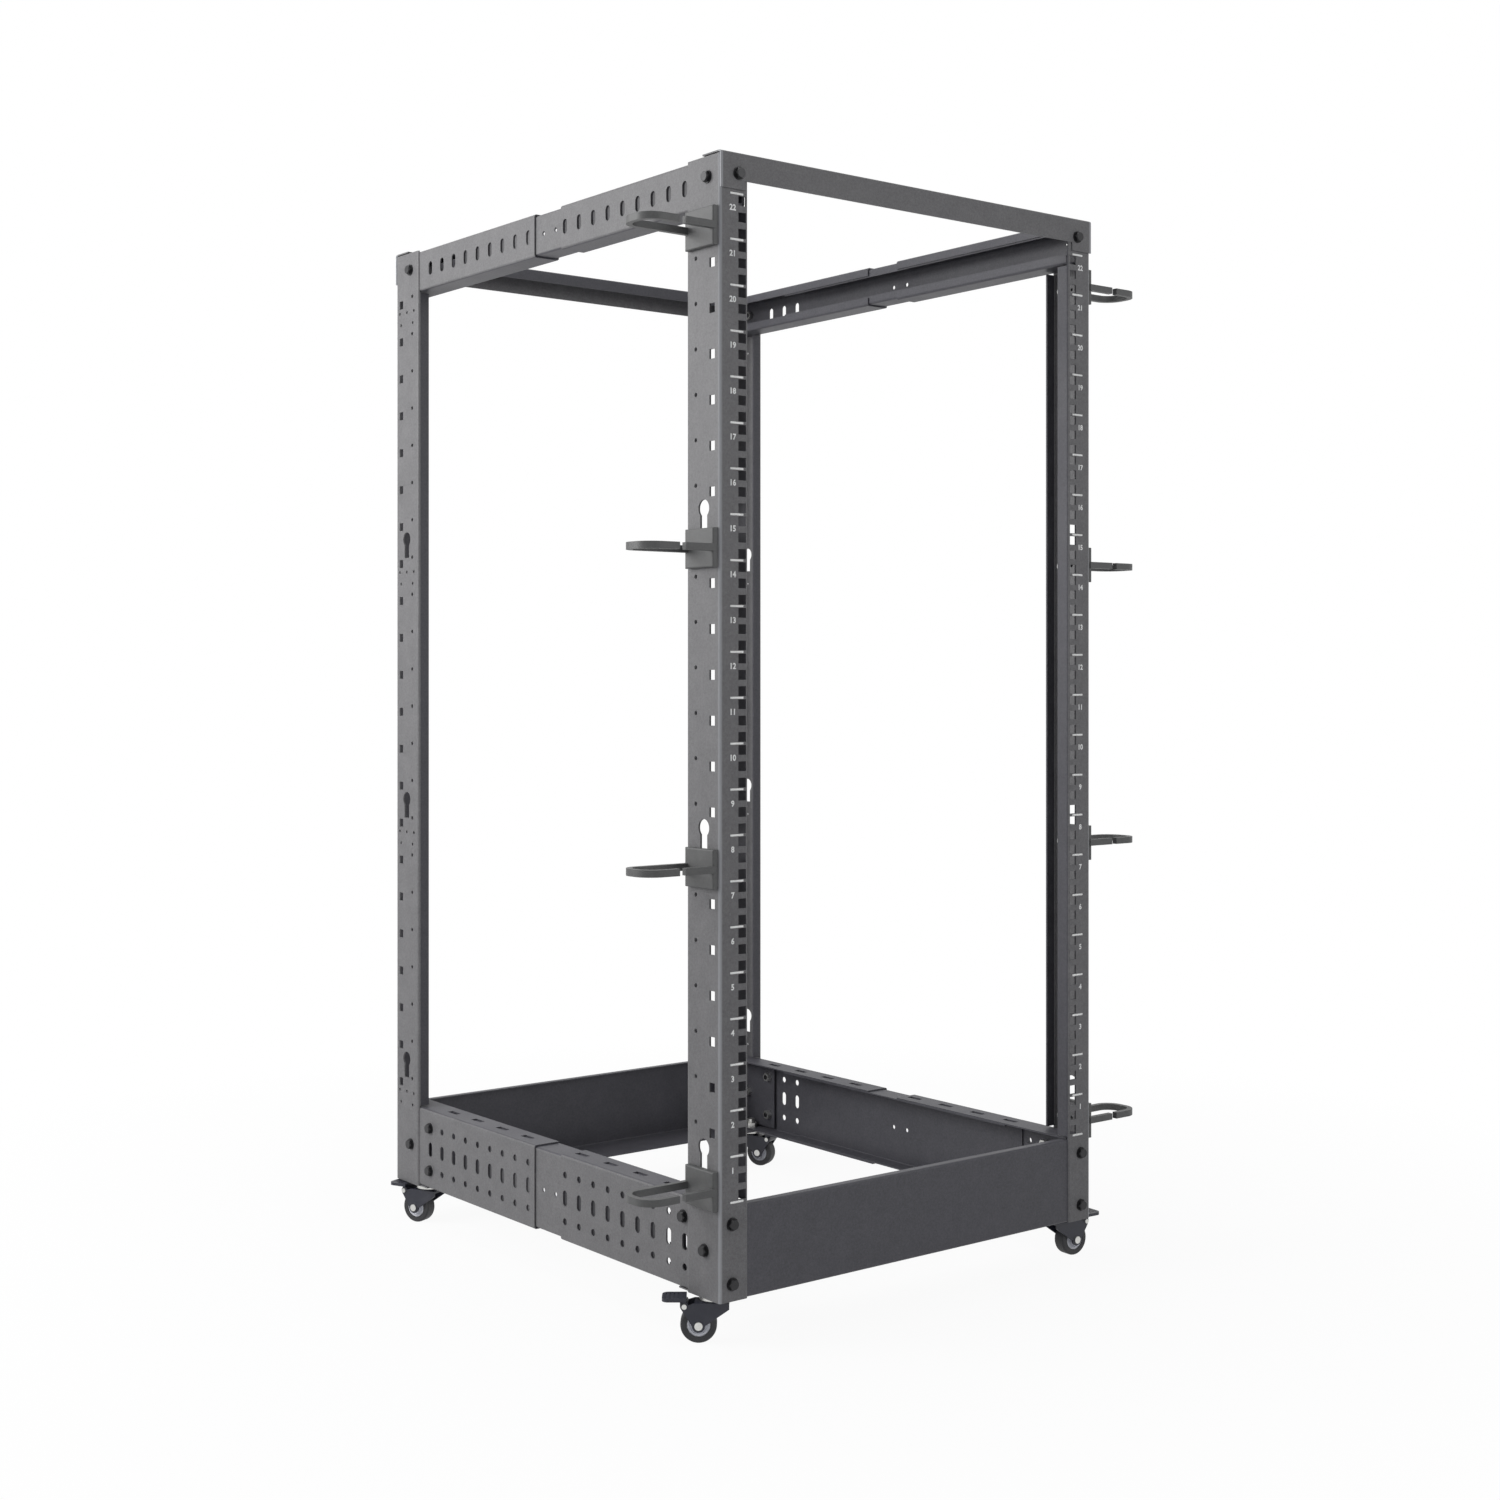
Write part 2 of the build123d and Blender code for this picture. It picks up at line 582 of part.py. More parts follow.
def cable_ring(height):
    """A flat open ring that reaches out from a base on the side flange."""
    deep, wide, tall = RING_BASE
    low, high = height - tall / 2, height + tall / 2
    base = block(-deep, 0, RING_LINE - wide / 2, RING_LINE + wide / 2, low, high)
    base = fillet(base.faces().sort_by(Axis.X)[0].edges(), RING_BASE_ROUND)
    outline = ring_outline(RING_WIDTH, RING_REACH, RING_CORNER)
    hole = ring_outline(RING_WIDTH - 2 * RING_BAR, RING_REACH - RING_BAR, RING_CORNER - RING_BAR)
    loop = Pos(0, RING_LINE, height) * extrude(outline - hole, RING_THICK / 2, both=True)
    start = RING_LINE - RING_WIDTH / 2 - CUT
    mouth_end = -RING_MOUTH_START - RING_MOUTH
    loop -= block(mouth_end, -RING_MOUTH_START, start, RING_LINE, low, high)
    loop &= block(-RING_REACH, -deep / 2, start, RING_LINE + RING_WIDTH, low, high)
    bottom = -SCREW_DEPTH - SEAT_GAP
    holes = [rod(SCREW_R, (bottom, y, height), (CUT, y, height)) for y in screw_lines()]
    return base + loop - holes


def ring_outline(width, reach, corner):
    """A strip out from the post with its two far corners rounded."""
    shape = Pos(-reach / 2, 0) * Rectangle(reach, width)
    return fillet(shape.vertices().group_by(Axis.X)[0], corner)


def screw_lines():
    """Distances of the two ring screws from the front of the post."""
    return RING_LINE - RING_HOLE_PITCH, RING_LINE + RING_HOLE_PITCH


def ring_screws(height):
    """The two screws that hold a ring, put in from inside the post."""
    screws = []
    for y in screw_lines():
        shank = rod(SCREW_R - RUNNING_GAP, (-SCREW_DEPTH, y, height), (POST_SHEET, y, height))
        head = rod(SCREW_HEAD_R, (POST_SHEET, y, height), (POST_SHEET + SCREW_HEAD, y, height))
        screws.append(shank + head)
    return screws


# Casters, drawn with the stem at the origin and the pedal towards +X, above the floor

def caster_stem():
    """The fixed part: threaded stem, head plate and the rivet that the fork hangs on."""
    plate_low = CASTER_HEIGHT - HEAD_PLATE
    rivet_top = FORK_TOP - FORK_PLATE - SLIDE_GAP
    stem = rod(STEM_R, (0, 0, plate_low), (0, 0, CASTER_HEIGHT + STEM_TOP))
    stem += rod(HEAD_PLATE_R, (0, 0, plate_low), (0, 0, CASTER_HEIGHT))
    stem += rod(SWIVEL_PIN_R, (0, 0, rivet_top), (0, 0, plate_low))
    return stem + rod(RIVET_R, (0, 0, rivet_top - RIVET_HEAD), (0, 0, rivet_top))


def cheek_outline():
    """One side plate of the fork, from behind the stem to the pedal pivot and down to the axle."""
    pivot_x, pivot_z = PEDAL_PIVOT
    eye, wheel_eye = PEDAL_EYE_R, CHEEK_EYE_R
    points = [(-FORK_BACK, FORK_TOP), (-FORK_BACK, FORK_TOP - CHEEK_SKIRT),
              (WHEEL_TRAIL - wheel_eye, WHEEL_R), (WHEEL_TRAIL + wheel_eye, WHEEL_R),
              (pivot_x + eye * cos(EYE_LEAN), pivot_z - eye * sin(EYE_LEAN)), (pivot_x, pivot_z),
              (FORK_FRONT, FORK_TOP)]
    plate = make_face(Polyline(*points, close=True).edges())
    return plate + Pos(WHEEL_TRAIL, WHEEL_R) * Circle(wheel_eye) + Pos(pivot_x, pivot_z) * Circle(eye)


def caster_fork():
    """The swivelling fork: ball race, top plate and two cheeks."""
    width = CHEEK_INSIDE + CHEEK
    fork = block(-FORK_BACK, FORK_FRONT, -width, width, FORK_TOP - FORK_PLATE, FORK_TOP)
    for y in (-CHEEK_INSIDE, width):
        side = Plane(origin=(0, y, 0), x_dir=(1, 0, 0), z_dir=(0, -1, 0))
        fork += extrude(side * cheek_outline(), CHEEK)
    race = Cone(RACE_R, RACE_R - RACE_SLOPE, RACE_HEIGHT, align=(Align.CENTER, Align.CENTER, Align.MIN))
    fork += Pos(0, 0, FORK_TOP) * race
    fork -= rod(SWIVEL_PIN_R + RUNNING_GAP, (0, 0, FORK_TOP - FORK_PLATE - CUT), (0, 0, CASTER_HEIGHT))
    for radius, (x, z) in ((AXLE_R, (WHEEL_TRAIL, WHEEL_R)), (PEDAL_PIN_R, PEDAL_PIVOT)):
        fork -= rod(radius + RUNNING_GAP, (x, -width - CUT, z), (x, width + CUT, z))
    return fork


def headed_pin(radius, head_radius, x, z):
    """A pin across the fork with a head outside each cheek."""
    width = CHEEK_INSIDE + CHEEK
    pin = rod(radius, (x, -width, z), (x, width, z))
    for side in (-1, 1):
        pin += rod(head_radius, (x, side * width, z), (x, side * (width + AXLE_HEAD), z))
    return pin


def caster_pins():
    """The wheel axle and the pedal pin."""
    axle = headed_pin(AXLE_R, AXLE_HEAD_R, WHEEL_TRAIL, WHEEL_R)
    return [axle, headed_pin(PEDAL_PIN_R, PEDAL_PIN_HEAD_R, *PEDAL_PIVOT)]


def across_wheel(radius, width):
    """A disc on the wheel's axis, as wide as asked."""
    return rod(radius, (WHEEL_TRAIL, -width / 2, WHEEL_R), (WHEEL_TRAIL, width / 2, WHEEL_R))


def caster_tyre():
    """The tread, with rounded shoulders."""
    disc = across_wheel(WHEEL_R, TYRE_WIDTH)
    rims = disc.edges().filter_by(GeomType.CIRCLE)
    return fillet(rims, TYRE_ROUND) - across_wheel(TYRE_BORE_R, TYRE_WIDTH + CUT)


def caster_core():
    """The wheel centre: a rim, a thin recessed web and a hub."""
    core = across_wheel(TYRE_BORE_R - RUNNING_GAP, CORE_WIDTH)
    for side in (-1, 1):
        outer = side * CORE_WIDTH / 2
        inner = outer - side * CORE_RECESS
        recess = rod(TYRE_BORE_R - CORE_RIM, (WHEEL_TRAIL, inner, WHEEL_R), (WHEEL_TRAIL, outer, WHEEL_R))
        core -= recess - across_wheel(HUB_R, 2 * CORE_WIDTH)
    core += across_wheel(HUB_R, 2 * (CHEEK_INSIDE - SLIDE_GAP))
    return core - across_wheel(AXLE_R + RUNNING_GAP, 3 * CORE_WIDTH)


def caster_pedal():
    """The brake pedal: foot plate, pivot hub and the pad that meets the tread."""
    pivot_x, pivot_z = PEDAL_PIVOT
    half = PEDAL_HALF_WIDTH
    plate = block(PEDAL_BACK, PEDAL_TIP, -half, half, PEDAL_UNDERSIDE, PEDAL_TOP)
    plate = fillet(plate.edges().filter_by(Axis.Z).group_by(Axis.X)[-1], half / 2)
    pitch = (PEDAL_TIP - PEDAL_BACK) / (PEDAL_TREADS + 2)
    groove = block(-PEDAL_GROOVE / 2, PEDAL_GROOVE / 2, -PEDAL_GROOVE_HALF, PEDAL_GROOVE_HALF,
                   PEDAL_TOP - PEDAL_GROOVE_DEPTH, PEDAL_TOP + CUT)
    plate -= [Pos(PEDAL_TIP - pitch * (i + 1), 0, 0) * groove for i in range(PEDAL_TREADS)]
    hub = rod(PEDAL_HUB_R, (pivot_x, -PEDAL_HUB_HALF, pivot_z), (pivot_x, PEDAL_HUB_HALF, pivot_z))
    hub += block(pivot_x - PEDAL_NECK, pivot_x + PEDAL_HUB_R, -PEDAL_HUB_HALF, PEDAL_HUB_HALF,
                 pivot_z, PEDAL_UNDERSIDE + BRAKE_PAD_R)
    towards_wheel = Vector(WHEEL_TRAIL - pivot_x, WHEEL_R - pivot_z)
    lean = Vector(0, -1).get_angle(towards_wheel) - BRAKE_PAD_LEAD
    pad_x = pivot_x - BRAKE_PAD_REACH * sin(radians(lean))
    pad_z = pivot_z - BRAKE_PAD_REACH * cos(radians(lean))
    pad_half = TYRE_WIDTH / 2 - BRAKE_PAD_R
    hub += rod(BRAKE_PAD_R, (pad_x, -pad_half, pad_z), (pad_x, pad_half, pad_z))
    pin_cut = rod(PEDAL_PIN_R + RUNNING_GAP, (pivot_x, -2 * half, pivot_z), (pivot_x, 2 * half, pivot_z))
    return plate + hub - pin_cut


def stem_place(corner):
    """Where a caster stands: over the floor, turned about its stem."""
    end, side = corner.split("_")
    x = FRAME_WIDTH / 2 - STEM_FROM_SIDE
    y = FRAME_DEPTH / 2 - STEM_INSETS[end]
    return Pos(x if side == "right" else -x, y if end == "rear" else -y, 0) * Rot(0, 0, CASTER_TURNS[corner])


def write_frame():
    """Posts, beams, panels and rails."""
    for end in ENDS:
        upright, upper, lower = post(end), top_beam(), bottom_panel(end)
        write(at_corner(upper, f"{end}_left"), f"top_beam_{end}")
        write(at_corner(lower, f"{end}_left"), f"bottom_panel_{end}")
        for side in SIDES:
            write(at_corner(upright, f"{end}_{side}"), f"post_{end}_{side}")
    for section in SECTIONS:
        upper, lower = top_rail(section), bottom_rail(section)
        for side in SIDES:
            write(at_corner(upper, f"front_{side}"), f"top_rail_{section}_{side}")
            write(at_corner(lower, f"front_{side}"), f"bottom_rail_{section}_{side}")


def write_fasteners():
    """Bolts, nuts and spacers, grouped by the end of the rack that they belong to."""
    for end in ENDS:
        corners = [f"{end}_{side}" for side in SIDES]
        places = bolt_places(end)
        write([at_corner(bolt(*place), corner) for corner in corners for place in places], f"{end}_bolts")
        nuts = [nut(*place) for place in places] + [stem_nut(end)]
        write([at_corner(piece, corner) for corner in corners for piece in nuts], f"{end}_nuts")
        write([at_corner(ring, corner) for corner in corners for ring in spacers(end)], f"{end}_spacers")


def write_rings():
    """Eight cable rings and the screws that hold them."""
    screws = []
    for side in SIDES:
        corner = f"front_{side}"
        for number, height in enumerate(reversed(RING_HEIGHTS), start=1):
            write(at_corner(cable_ring(height), corner), f"cable_ring_{side}_{number}")
            screws += [at_corner(screw, corner) for screw in ring_screws(height)]
    write(screws, "ring_screws")


def write_casters():
    """Four casters, each turned its own way."""
    pieces = {"stem": caster_stem(), "fork": caster_fork(), "tyre": caster_tyre(),
              "wheel": caster_core(), "pedal": caster_pedal()}
    for corner in CORNERS:
        place = stem_place(corner)
        for name, piece in pieces.items():
            write(place * piece, f"caster_{name}_{corner}")
        write([place * pin for pin in caster_pins()], f"caster_pins_{corner}")


write_frame()
write_fasteners()
write_rings()
write_casters()
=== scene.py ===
import json
from math import radians

import bpy
from mathutils import Euler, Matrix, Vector


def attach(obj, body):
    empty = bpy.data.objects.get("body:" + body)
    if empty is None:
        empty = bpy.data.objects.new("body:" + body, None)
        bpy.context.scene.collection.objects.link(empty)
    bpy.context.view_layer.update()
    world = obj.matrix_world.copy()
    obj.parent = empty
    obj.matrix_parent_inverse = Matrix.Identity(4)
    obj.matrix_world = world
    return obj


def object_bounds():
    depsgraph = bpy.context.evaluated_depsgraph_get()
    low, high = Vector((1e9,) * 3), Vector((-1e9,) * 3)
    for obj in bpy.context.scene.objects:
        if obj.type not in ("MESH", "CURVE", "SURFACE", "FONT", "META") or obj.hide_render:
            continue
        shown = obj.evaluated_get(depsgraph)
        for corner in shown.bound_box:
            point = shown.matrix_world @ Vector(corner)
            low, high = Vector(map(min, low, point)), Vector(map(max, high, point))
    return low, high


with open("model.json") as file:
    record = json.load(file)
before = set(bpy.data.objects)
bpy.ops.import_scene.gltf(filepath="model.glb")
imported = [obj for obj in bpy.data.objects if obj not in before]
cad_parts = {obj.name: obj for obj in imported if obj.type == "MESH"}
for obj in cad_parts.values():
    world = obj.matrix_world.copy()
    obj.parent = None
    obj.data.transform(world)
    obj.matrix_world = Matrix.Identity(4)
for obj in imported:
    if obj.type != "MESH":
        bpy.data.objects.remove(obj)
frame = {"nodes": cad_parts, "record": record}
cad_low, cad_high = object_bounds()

MM = 0.001
ENDS = ("front", "rear")
SIDES = ("left", "right")

# Unit marks, measured from a post's outer corner and down from the top of the rack
UNIT = 44.45 * MM
RACK_UNITS = 22
FIRST_LINE_BELOW_TOP = 40.1 * MM
LINE_START = 12.6 * MM
LINE_END = 28.6 * MM
LINE_WIDTH = 2.0 * MM
NUMBER_MIDDLE = 15.7 * MM
NUMBER_DROP = 14.0 * MM
NUMBER_SIZE = 8.0 * MM
NUMBER_WEIGHT = 0.25 * MM
INK_GAP = 0.02 * MM
INK = 0.08 * MM
MARK_SLOT = "mark_paint"

# The posts' outer faces: half the width and half the depth of the frame
POST_CORNER = 260.0 * MM
POST_FACE = 322.5 * MM

# Where the coat gets painted shade inside the rack, a painted highlight on the posts' corner bends, and a
# painted shadow where a rail slides in a sleeve
INSIDE_HALF_WIDTH = 257.0 * MM
INSIDE_DEPTH = 321.2 * MM
BEND_REACH = 3.4 * MM
SLEEVED_FACE = 256.2 * MM
BARE_START = -38.5 * MM
BARE_END = 14.5 * MM
SLIDE_TRAVEL = 100.0 * MM
SHADE_EDGE = 0.3 * MM

# Camera, in metres and degrees
CAMERA_PLACE = (-1.4743, -1.9183, 0.653)
CAMERA_TURN = -38.1
CAMERA_LENS = 49.92
CAMERA_SHIFT = -0.05

# The backdrop: what the object gets of the world, and how the floor fades to white from the rack outwards
WORLD_TINT = (0.86, 0.89, 0.95, 1)
WORLD_STRENGTH = 0.2
WHITE = (1, 1, 1, 1)
FLOOR_SIZE = 24
FLOOR_COLOUR = (0.78, 0.78, 0.79, 1)
FLOOR_FADE = {"From Min": 0.4, "From Max": 1.3, "To Min": 0.94, "To Max": 1.0}

# Finishes: colour, fine grain in cycles per metre, fleck, dust, roughness, bump, metallic and specular
COAT = ((0.14, 0.138, 0.142), 1100, 0.3, 0.03, 0.5, 0.35, 0.0, 0.35)
FINISHES = {
    "ring_plastic": ((0.072, 0.073, 0.073), 2200, 0.18, 0.03, 0.5, 0.25, 0.0, 0.5),
    "black_hardware": ((0.018, 0.018, 0.02), 900, 0.2, 0.02, 0.36, 0.15, 0.4, 0.5),
    "zinc_hardware": ((0.6, 0.6, 0.58), 700, 0.1, 0.02, 0.34, 0.1, 0.9, 0.5),
    "caster_metal": ((0.014, 0.015, 0.026), 900, 0.15, 0.03, 0.42, 0.15, 0.0, 0.5),
    "caster_tyre": ((0.018, 0.018, 0.021), 500, 0.15, 0.08, 0.58, 0.15, 0.0, 0.5),
    "caster_core": ((0.7, 0.71, 0.76), 400, 0.08, 0.04, 0.42, 0.1, 0.0, 0.5),
    "mark_paint": ((0.93, 0.93, 0.91), 900, 0.12, 0.02, 0.55, 0.1, 0.0, 0.5),
}
# Painted light on the rack's coat: painted shade inside the rack, a painted shadow on a rail within its
# sleeve, and a painted highlight on the posts' corner bends
INSIDE_PAINTED_SHADE = (0.5, 0.5, 0.56)
SLEEVE_PAINTED_SHADOW = (0.3, 0.3, 0.32)
BEND_PAINTED_HIGHLIGHT = (0.34, 0.345, 0.36)
DUST_COLOUR = (0.42, 0.41, 0.39, 1)
COARSE_GRAIN = 380
RELIEF_DEPTH = 0.2 * MM


# Camera and light

def make_camera():
    """A level camera at the near corner of the rack."""
    data = bpy.data.cameras.new("camera")
    data.lens = CAMERA_LENS
    data.sensor_width = 36.0
    data.shift_y = CAMERA_SHIFT
    data.clip_end = 50.0
    camera = bpy.data.objects.new("camera", data)
    bpy.context.collection.objects.link(camera)
    camera.location = CAMERA_PLACE
    camera.rotation_euler = Euler((radians(90), 0, radians(CAMERA_TURN)))
    bpy.context.scene.camera = camera


def area_light(name, place, aim, size, power):
    """A square soft box at a place, turned to its aim."""
    data = bpy.data.lights.new(name, "AREA")
    data.shape = "SQUARE"
    data.size = size
    data.energy = power
    lamp = bpy.data.objects.new(name, data)
    bpy.context.collection.objects.link(lamp)
    lamp.location = place
    lamp.rotation_euler = (Vector(aim) - Vector(place)).to_track_quat("-Z", "Y").to_euler()


def make_lights():
    """A close key from the left rear that fades across the rack, a front fill, a top and a corner light."""
    area_light("key", (-1.65, 0.75, 1.25), (-0.26, 0.15, 0.75), 1.1, 29)
    area_light("fill", (0.9, -2.7, 1.5), (0.1, -0.3, 0.7), 1.6, 17)
    area_light("top", (-0.5, 0.2, 2.7), (0, 0, 1.1), 1.4, 18)
    area_light("corner", (-1.9, -2.3, 0.9), (-0.26, -0.32, 0.65), 0.5, 5)


def seen_rays(nodes, links):
    """1 for rays that show the backdrop: from the camera, off gloss and through glass."""
    path = nodes.new("ShaderNodeLightPath")
    total = path.outputs["Is Camera Ray"]
    for label in ("Is Glossy Ray", "Is Transmission Ray"):
        add = nodes.new("ShaderNodeMath")
        add.operation = "ADD"
        add.use_clamp = True
        links.new(total, add.inputs[0])
        links.new(path.outputs[label], add.inputs[1])
        total = add.outputs[0]
    return total


def make_world():
    """White where it is seen, and a low even light on everything else."""
    world = bpy.data.worlds.new("studio")
    bpy.context.scene.world = world
    world.use_nodes = True
    nodes, links = world.node_tree.nodes, world.node_tree.links
    nodes.clear()
    mild = nodes.new("ShaderNodeBackground")
    mild.inputs["Color"].default_value = WORLD_TINT
    mild.inputs["Strength"].default_value = WORLD_STRENGTH
    white = nodes.new("ShaderNodeBackground")
    white.inputs["Color"].default_value = WHITE
    mix = nodes.new("ShaderNodeMixShader")
    out = nodes.new("ShaderNodeOutputWorld")
    links.new(seen_rays(nodes, links), mix.inputs["Fac"])
    links.new(mild.outputs[0], mix.inputs[1])
    links.new(white.outputs[0], mix.inputs[2])
    links.new(mix.outputs[0], out.inputs["Surface"])


def make_floor():
    """A white floor that keeps only the soft shadow under the rack."""
    bpy.ops.mesh.primitive_plane_add(size=FLOOR_SIZE, location=(0, 0, 0))
    floor = bpy.context.object
    floor.name = "floor"
    material = bpy.data.materials.new("studio_floor")
    material.use_nodes = True
    nodes, links = material.node_tree.nodes, material.node_tree.links
    nodes.clear()
    out = nodes.new("ShaderNodeOutputMaterial")
    diffuse = nodes.new("ShaderNodeBsdfDiffuse")
    diffuse.inputs["Color"].default_value = FLOOR_COLOUR
    glow = nodes.new("ShaderNodeEmission")
    glow.inputs["Color"].default_value = WHITE
    away = nodes.new("ShaderNodeVectorMath")
    away.operation = "LENGTH"
    links.new(nodes.new("ShaderNodeTexCoord").outputs["Object"], away.inputs[0])
    fade = nodes.new("ShaderNodeMapRange")
    links.new(away.outputs["Value"], fade.inputs["Value"])
    for label, number in FLOOR_FADE.items():
        fade.inputs[label].default_value = number
    share = nodes.new("ShaderNodeMath")
    share.operation = "MULTIPLY"
    mix = nodes.new("ShaderNodeMixShader")
    links.new(seen_rays(nodes, links), share.inputs[0])
    links.new(fade.outputs["Result"], share.inputs[1])
    links.new(share.outputs[0], mix.inputs["Fac"])
    links.new(diffuse.outputs[0], mix.inputs[1])
    links.new(glow.outputs[0], mix.inputs[2])
    links.new(mix.outputs[0], out.inputs["Surface"])
    floor.data.materials.append(material)


# Shared surface effects, each a node group with named inputs and outputs

def new_group(name, inputs, outputs):
    """An empty shader node group with the given sockets."""
    group = bpy.data.node_groups.new(name, "ShaderNodeTree")
    for label, kind, value in inputs:
        socket = group.interface.new_socket(name=label, in_out="INPUT", socket_type=kind)
        socket.default_value = value
    for label, kind in outputs:
        group.interface.new_socket(name=label, in_out="OUTPUT", socket_type=kind)
    start = group.nodes.new("NodeGroupInput")
    end = group.nodes.new("NodeGroupOutput")
    return group, start, end


def add_noise(group, start, scale, detail, roughness):
    """Noise on the object's own coordinates, in cycles per metre."""
    noise = group.nodes.new("ShaderNodeTexNoise")
    noise.inputs["Scale"].default_value = scale
    noise.inputs["Detail"].default_value = detail
    noise.inputs["Roughness"].default_value = roughness
    group.links.new(start.outputs["Place"], noise.inputs["Vector"])
    return noise


def add_math(group, operation, first, second, clamp=False):
    """A math node whose two inputs are sockets or numbers."""
    node = group.nodes.new("ShaderNodeMath")
    node.operation = operation
    node.use_clamp = clamp
    for slot, value in ((0, first), (1, second)):
        if isinstance(value, (int, float)):
            node.inputs[slot].default_value = value
        else:
            group.links.new(value, node.inputs[slot])
    return node.outputs[0]


def add_remap(group, value, low, high, to_low, to_high):
    """A clamped map from one range to another."""
    node = group.nodes.new("ShaderNodeMapRange")
    group.links.new(value, node.inputs["Value"])
    for name, number in (("From Min", low), ("From Max", high), ("To Min", to_low), ("To Max", to_high)):
        node.inputs[name].default_value = number
    return node.outputs["Result"]


def add_mix(tree, share, first, second, blend="MIX"):
    """A mix from a colour socket to a fixed colour, by a share."""
    node = tree.nodes.new("ShaderNodeMix")
    node.data_type = "RGBA"
    node.blend_type = blend
    ends = [one for one in node.inputs if one.type == "RGBA"]
    tree.links.new(share, node.inputs["Factor"])
    tree.links.new(first, ends[0])
    ends[1].default_value = second
    return [one for one in node.outputs if one.type == "RGBA"][0]


def make_coat_grain():
    """Textured coat: fine and coarse flecks, uneven tone, a trace of dust, roughness and height."""
    group, start, end = new_group(
        "coat_grain",
        [("Place", "NodeSocketVector", (0, 0, 0)), ("Base", "NodeSocketColor", (0.1, 0.1, 0.1, 1)),
         ("Grain Scale", "NodeSocketFloat", 1500.0), ("Fleck", "NodeSocketFloat", 0.25),
         ("Dust", "NodeSocketFloat", 0.1), ("Roughness", "NodeSocketFloat", 0.5)],
        [("Color", "NodeSocketColor"), ("Roughness", "NodeSocketFloat"), ("Height", "NodeSocketFloat")])
    fine = add_noise(group, start, 1500, 2, 0.6)
    group.links.new(start.outputs["Grain Scale"], fine.inputs["Scale"])
    coarse = add_noise(group, start, COARSE_GRAIN, 2, 0.6)
    cloud = add_noise(group, start, 9, 3, 0.55)
    patch = add_noise(group, start, 55, 3, 0.6)
    fleck = add_remap(group, fine.outputs["Fac"], 0.3, 0.7, -0.5, 0.5)
    fleck = add_math(group, "ADD", fleck, add_remap(group, coarse.outputs["Fac"], 0.3, 0.7, -0.4, 0.4))
    fleck = add_math(group, "MULTIPLY", fleck, start.outputs["Fleck"])
    tone = add_remap(group, cloud.outputs["Fac"], 0.3, 0.7, -0.06, 0.06)
    tone = add_math(group, "ADD", tone, add_remap(group, patch.outputs["Fac"], 0.3, 0.7, -0.06, 0.06))
    tone = add_math(group, "ADD", add_math(group, "ADD", tone, fleck), 1.0)
    scaled = group.nodes.new("ShaderNodeVectorMath")
    scaled.operation = "SCALE"
    group.links.new(start.outputs["Base"], scaled.inputs[0])
    group.links.new(tone, scaled.inputs["Scale"])
    dust = add_math(group, "MULTIPLY", add_remap(group, patch.outputs["Fac"], 0.5, 0.75, 0, 1),
                    start.outputs["Dust"])
    dusty = add_mix(group, dust, scaled.outputs[0], DUST_COLOUR)
    group.links.new(dusty, end.inputs["Color"])
    rough = add_math(group, "ADD", start.outputs["Roughness"],
                     add_remap(group, cloud.outputs["Fac"], 0.3, 0.7, -0.05, 0.05))
    group.links.new(add_math(group, "ADD", rough, dust, clamp=True), end.inputs["Roughness"])
    group.links.new(fine.outputs["Fac"], end.inputs["Height"])


def make_rack_masks():
    """Where a point lies, for painted light: inside the rack (painted shade), on a post's corner bend
    (painted highlight), or on a rail's face within a sleeve (painted shadow).
    """
    group, start, end = new_group(
        "rack_masks", [("Place", "NodeSocketVector", (0, 0, 0)), ("Half Width", "NodeSocketFloat", 0.257)],
        [("Inside", "NodeSocketFloat"), ("Bend Highlight", "NodeSocketFloat"), ("Sleeve Shadow", "NodeSocketFloat")])
    parts = group.nodes.new("ShaderNodeSeparateXYZ")
    group.links.new(start.outputs["Place"], parts.inputs[0])
    across = add_math(group, "ABSOLUTE", parts.outputs["X"], 0.0)
    along = add_math(group, "ABSOLUTE", parts.outputs["Y"], 0.0)

    # Painted shade mask: within the rack's half width and depth
    beyond = add_math(group, "SUBTRACT", start.outputs["Half Width"], across)
    within_x = add_remap(group, beyond, 0, SHADE_EDGE, 0, 1)
    within_y = add_remap(group, along, INSIDE_DEPTH, INSIDE_DEPTH + SHADE_EDGE, 1, 0)
    group.links.new(add_math(group, "MULTIPLY", within_x, within_y), end.inputs["Inside"])

    # Painted highlight mask: the posts' outer corner bends
    outer_x = add_remap(group, across, POST_CORNER - BEND_REACH, POST_CORNER - BEND_REACH / 2, 0, 1)
    outer_y = add_remap(group, along, POST_FACE - BEND_REACH, POST_FACE - BEND_REACH / 2, 0, 1)
    group.links.new(add_math(group, "MULTIPLY", outer_x, outer_y), end.inputs["Bend Highlight"])

    # Painted shadow mask: a rail's outer face where a sleeve covers it, ramping in over the slide travel
    # behind the bare stretch
    outwards = add_remap(group, across, SLEEVED_FACE - 2 * SHADE_EDGE, SLEEVED_FACE - SHADE_EDGE, 0, 1)
    before = add_remap(group, parts.outputs["Y"], BARE_START - SHADE_EDGE, BARE_START, 1, 0)
    after = add_remap(group, parts.outputs["Y"], BARE_END, BARE_END + SLIDE_TRAVEL, 0, 1)
    covered = add_math(group, "ADD", before, after)
    group.links.new(add_math(group, "MULTIPLY", outwards, covered), end.inputs["Sleeve Shadow"])


